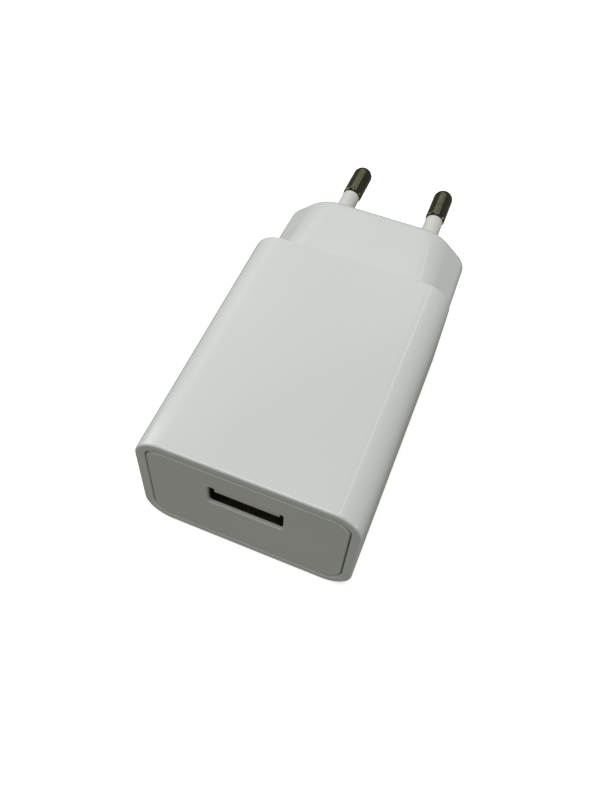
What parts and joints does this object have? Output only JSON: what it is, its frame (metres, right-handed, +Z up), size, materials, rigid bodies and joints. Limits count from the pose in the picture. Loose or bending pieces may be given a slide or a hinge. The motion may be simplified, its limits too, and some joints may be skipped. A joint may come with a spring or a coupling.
{
  "type": "usb wall charger",
  "caption": "Flat two-pin European wall charger with a USB-A port in its front face, lying on its broad side.",
  "frame": {"origin": "middle of the whole length and width, on the broad face that the charger lies on", "axes": "+Y from the USB face to the pin tips, +Z up out of the other broad face, +X to the right seen from the USB face"},
  "size_m": [0.0374, 0.086, 0.0244],
  "materials": {
    "case_plastic": "glossy moulded",
    "panel_plastic": "satin moulded",
    "sleeve_plastic": "moulded",
    "pin_metal": "nickel plated",
    "retainer_plastic": "moulded",
    "contact_spring": "stamped",
    "board_laminate": "solder mask",
    "resistor_coat": "lacquered",
    "disc_coat": "dipped",
    "ferrite": "sintered",
    "chip_plastic": "moulded",
    "capacitor_can": "shrink sleeve",
    "bobbin_plastic": "moulded",
    "tinned_wire": "tinned",
    "copper_wire": "enamelled",
    "coil_tape": "polyester tape",
    "chip_ceramic": "fired",
    "barrier_film": "polyester film",
    "shell_steel": "nickel plated",
    "socket_plastic": "moulded",
    "contact_gold": "gold flashed"
  },
  "bodies": {
    "charger": {"housing": "case_plastic", "front_panel": "panel_plastic", "pin_left": "pin_metal", "pin_right": "pin_metal", "pin_sleeve_left": "sleeve_plastic", "pin_sleeve_right": "sleeve_plastic", "pin_retainer": "retainer_plastic", "mains_contact_left": "contact_spring", "mains_contact_right": "contact_spring", "main_board": "board_laminate", "fuse_resistor": "resistor_coat", "varistor": "disc_coat", "filter_choke": "ferrite", "bridge_rectifier": "chip_plastic", "input_capacitor_1": "capacitor_can", "input_capacitor_2": "capacitor_can", "controller_chip": "chip_plastic", "transformer_core_front": "ferrite", "transformer_core_rear": "ferrite", "transformer_bobbin": "bobbin_plastic", "transformer_pins": "tinned_wire", "transformer_winding": "copper_wire", "transformer_tape": "coil_tape", "y_capacitor": "disc_coat", "output_diode": "chip_plastic", "output_capacitor_1": "capacitor_can", "output_capacitor_2": "capacitor_can", "chip_parts": "chip_ceramic", "insulation_sheet": "barrier_film", "usb_shell": "shell_steel", "usb_insulator": "socket_plastic", "usb_contact_tails": "contact_gold"},
    "contact_1": {"usb_contact_1": "contact_gold"},
    "contact_2": {"usb_contact_2": "contact_gold"},
    "contact_3": {"usb_contact_3": "contact_gold"},
    "contact_4": {"usb_contact_4": "contact_gold"}
  },
  "joints": [
    {"name": "contact_1_flex", "type": "hinge", "parent": "charger", "child": "contact_1", "pos_m": [-0.0035, -0.0326, 0.01569], "axis": [-1, 0, 0], "range_deg": [0, 3.5], "stiffness_Nm_per_rad": 0.055},
    {"name": "contact_2_flex", "type": "hinge", "parent": "charger", "child": "contact_2", "pos_m": [-0.001, -0.0326, 0.01569], "axis": [-1, 0, 0], "range_deg": [0, 3.5], "stiffness_Nm_per_rad": 0.055},
    {"name": "contact_3_flex", "type": "hinge", "parent": "charger", "child": "contact_3", "pos_m": [0.001, -0.0326, 0.01569], "axis": [-1, 0, 0], "range_deg": [0, 3.5], "stiffness_Nm_per_rad": 0.055},
    {"name": "contact_4_flex", "type": "hinge", "parent": "charger", "child": "contact_4", "pos_m": [0.0035, -0.0326, 0.01569], "axis": [-1, 0, 0], "range_deg": [0, 3.5], "stiffness_Nm_per_rad": 0.055}
  ]
}
